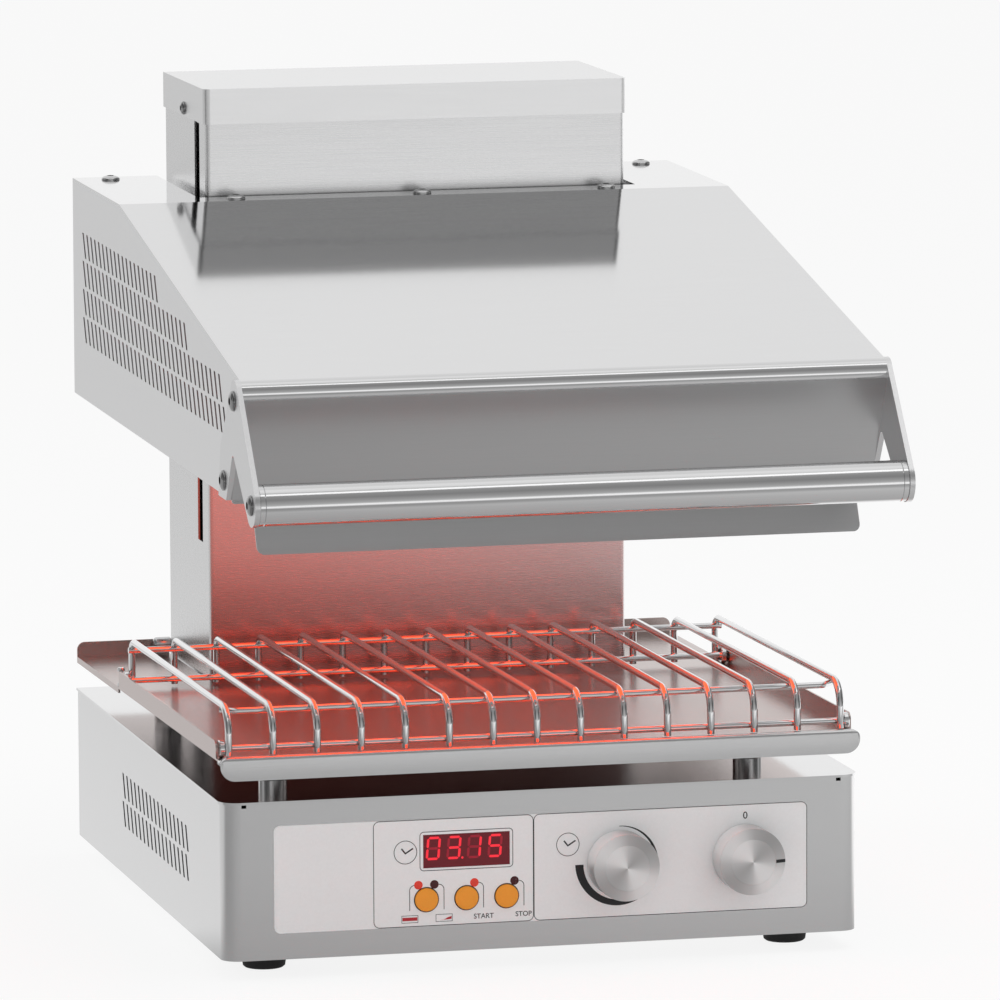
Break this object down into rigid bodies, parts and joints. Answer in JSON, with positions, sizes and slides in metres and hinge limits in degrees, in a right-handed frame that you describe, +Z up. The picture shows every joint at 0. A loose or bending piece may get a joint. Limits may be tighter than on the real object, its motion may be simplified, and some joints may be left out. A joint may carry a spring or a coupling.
{
  "type": "lift salamander grill",
  "caption": "Countertop lift salamander: sloped heater hood with bar handle on a rear column, over a drip tray and wire rack on a low base with display, buttons and knobs.",
  "frame": {"origin": "bottom centre of the whole part's bounding box, on the plane the feet stand on", "axes": "+Z up, -Y towards the handle and control panel, +X to the right of someone facing the panel"},
  "size_m": [0.4102, 0.5814, 0.5123],
  "materials": {
    "case_steel": "satin brushed",
    "side_steel": "light satin",
    "front_steel": "satin brushed",
    "polished_steel": "bright polished",
    "tray_steel": "fine brushed",
    "bracket_steel": "satin",
    "plain_steel": "bare",
    "weight_steel": "rough",
    "turned_steel": "ground and polished",
    "screw_steel": "bright",
    "bolt_steel": "dark bright",
    "cable_steel": "stranded",
    "rack_chrome": "bright plated",
    "foot_rubber": "matte",
    "label_film": "silver grey film",
    "window_red": "dark red, clear",
    "module_black": "matte",
    "led_lit": "lit red lens",
    "led_dark": "unlit red lens",
    "button_orange": "satin orange",
    "board_green": "solder mask",
    "knob_metal": "turned, fine rings",
    "gland_plastic": "matte",
    "terminal_plastic": "matte",
    "heater_glass": "heat-proof glass ceramic",
    "insulation_fibre": "pressed fibre board",
    "element_alloy": "glowing strip"
  },
  "bodies": {
    "base": {"base_front_panel": "case_steel", "base_housing": "case_steel", "base_deck": "polished_steel", "base_floor": "case_steel", "rubber_feet": "foot_rubber", "control_label": "label_film", "display_window": "window_red", "display_module": "module_black", "leds_lit": "led_lit", "leds_dark": "led_dark", "microswitches": "module_black", "control_board": "board_green", "timer_encoder": "module_black", "power_switch": "module_black", "cable_gland": "gland_plastic", "terminal_block": "terminal_plastic", "column_shell": "polished_steel", "column_back": "case_steel", "column_cap": "case_steel", "cap_screws": "screw_steel", "column_studs": "screw_steel", "guide_rods": "turned_steel", "rod_foot_plate": "plain_steel", "head_plate": "plain_steel", "drip_tray": "tray_steel", "tray_posts": "turned_steel", "tray_side_pins": "screw_steel"},
    "hood": {"hood_top": "polished_steel", "hood_side_left": "side_steel", "hood_side_right": "side_steel", "hood_channel": "case_steel", "hood_front": "front_steel", "hood_pan": "case_steel", "hood_screws": "screw_steel", "heater_glass": "heater_glass", "heater_insulation": "insulation_fibre", "heating_strip": "element_alloy", "handle_tube": "polished_steel", "bracket_left": "bracket_steel", "bracket_right": "bracket_steel", "bracket_bolts": "bolt_steel", "lift_carriage": "plain_steel", "carriage_cables": "cable_steel"},
    "weight": {"counterweight": "weight_steel", "weight_cables": "cable_steel"},
    "pulley_set": {"pulleys": "turned_steel"},
    "timer": {"timer_knob": "knob_metal", "timer_shaft": "turned_steel"},
    "power": {"power_knob": "knob_metal", "power_shaft": "turned_steel"},
    "left_button": {"button_left": "button_orange"},
    "start_button": {"button_start": "button_orange"},
    "stop_button": {"button_stop": "button_orange"},
    "rack": {"wire_rack": "rack_chrome", "rack_discs": "rack_chrome"}
  },
  "joints": [
    {"name": "hood_lift", "type": "slide", "parent": "base", "child": "hood", "axis": [0, 0, 1], "range_m": [-0.095, 0.045], "deforming": ["carriage_cables"]},
    {"name": "counterweight_slide", "type": "slide", "parent": "base", "child": "weight", "axis": [0, 0, 1], "range_m": [-0.0455, 0.0955], "deforming": ["weight_cables"]},
    {"name": "pulley_turn", "type": "hinge", "parent": "base", "child": "pulley_set", "pos_m": [0, 0.1977, 0.462], "axis": [1, 0, 0], "range_deg": [-140, 290]},
    {"name": "timer_turn", "type": "hinge", "parent": "base", "child": "timer", "pos_m": [0.0476, -0.188, 0.062], "axis": [0, -1, 0], "continuous": true},
    {"name": "power_turn", "type": "hinge", "parent": "base", "child": "power", "pos_m": [0.1272, -0.188, 0.062], "axis": [0, -1, 0], "range_deg": [0, 90]},
    {"name": "left_button_press", "type": "slide", "parent": "base", "child": "left_button", "axis": [0, 1, 0], "range_m": [0, 0.0008], "stiffness_N_per_m": 1200},
    {"name": "start_button_press", "type": "slide", "parent": "base", "child": "start_button", "axis": [0, 1, 0], "range_m": [0, 0.0008], "stiffness_N_per_m": 1200},
    {"name": "stop_button_press", "type": "slide", "parent": "base", "child": "stop_button", "axis": [0, 1, 0], "range_m": [0, 0.0008], "stiffness_N_per_m": 1200},
    {"name": "rack_lift", "type": "slide", "parent": "base", "child": "rack", "axis": [0, 0, 1], "range_m": [0, 0.08]}
  ],
  "couplings": [
    {"joint": "counterweight_slide", "follows": "hood_lift", "ratio": -1},
    {"joint": "pulley_turn", "follows": "hood_lift", "rad_per_m": -52.632}
  ]
}
